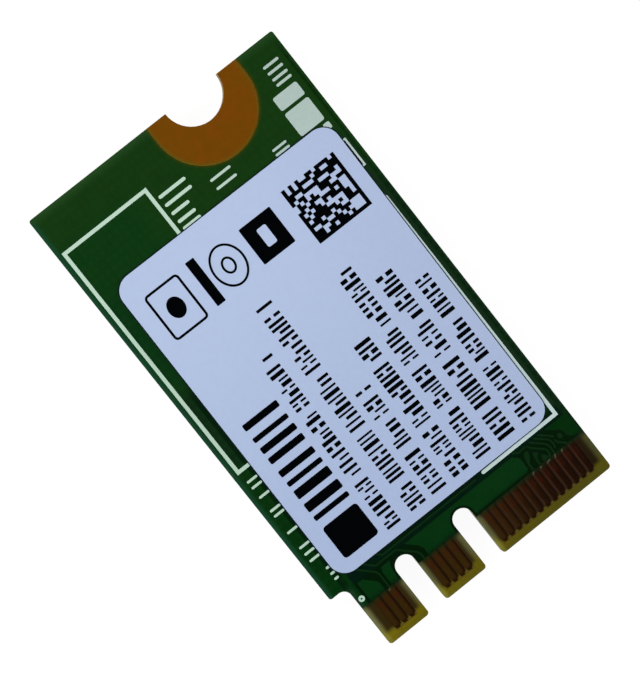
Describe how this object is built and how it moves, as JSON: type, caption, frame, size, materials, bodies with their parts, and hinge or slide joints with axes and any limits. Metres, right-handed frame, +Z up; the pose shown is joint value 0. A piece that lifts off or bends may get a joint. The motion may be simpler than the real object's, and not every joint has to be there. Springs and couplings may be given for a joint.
{
  "type": "wireless network card",
  "caption": "Narrow plug-in wireless card: keyed edge-connector board with a half-round mounting notch, a pale label on one face, a shielded radio and coaxial aerial sockets on the other.",
  "frame": {"origin": "on the outer face of the shield lid, below the middle of the board", "axes": "+Z up, out of the label side; +Y along the card towards the mounting end; +X to the right seen from the label side with the mounting end away"},
  "size_m": [0.0164, 0.03, 0.0022],
  "materials": {
    "laminate": "satin glass-fibre laminate, sawn edges",
    "solder_mask": "semi-gloss dark green coating",
    "finger_plating": "dark satin plating",
    "land_plating": "satin orange-brown plating",
    "label_paper": "matt coated label stock",
    "shield_metal": "matt tinned sheet",
    "socket_resin": "matt moulded resin",
    "socket_gold": "bright plating",
    "chip_moulding": "matt moulding compound",
    "solder_tin": "satin tin",
    "pale_ceramic": "matt",
    "dark_ceramic": "matt",
    "tan_ceramic": "matt"
  },
  "bodies": {
    "root": {"circuit_board": "laminate", "label_side_mask": "solder_mask", "component_side_mask": "solder_mask", "label_side_fingers": "finger_plating", "component_side_fingers": "finger_plating", "label_land": "land_plating", "component_land": "land_plating", "label_sheet": "label_paper", "shield_track": "land_plating", "shield_frame": "shield_metal", "shield_lid": "shield_metal", "main_antenna_base": "socket_resin", "main_antenna_shell": "socket_gold", "main_antenna_contact": "socket_gold", "aux_antenna_base": "socket_resin", "aux_antenna_shell": "socket_gold", "aux_antenna_contact": "socket_gold", "wifi_chip": "chip_moulding", "wifi_chip_leads": "solder_tin", "crystal_base": "pale_ceramic", "crystal_lid": "solder_tin", "memory_chip": "chip_moulding", "front_end_module": "chip_moulding", "diplexer": "pale_ceramic", "power_inductors": "dark_ceramic", "inductor_terminals": "solder_tin", "capacitors": "tan_ceramic", "capacitor_terminals": "solder_tin", "resistors": "dark_ceramic", "resistor_terminals": "solder_tin", "matching_parts": "tan_ceramic", "matching_terminals": "solder_tin"}
  },
  "joints": []
}
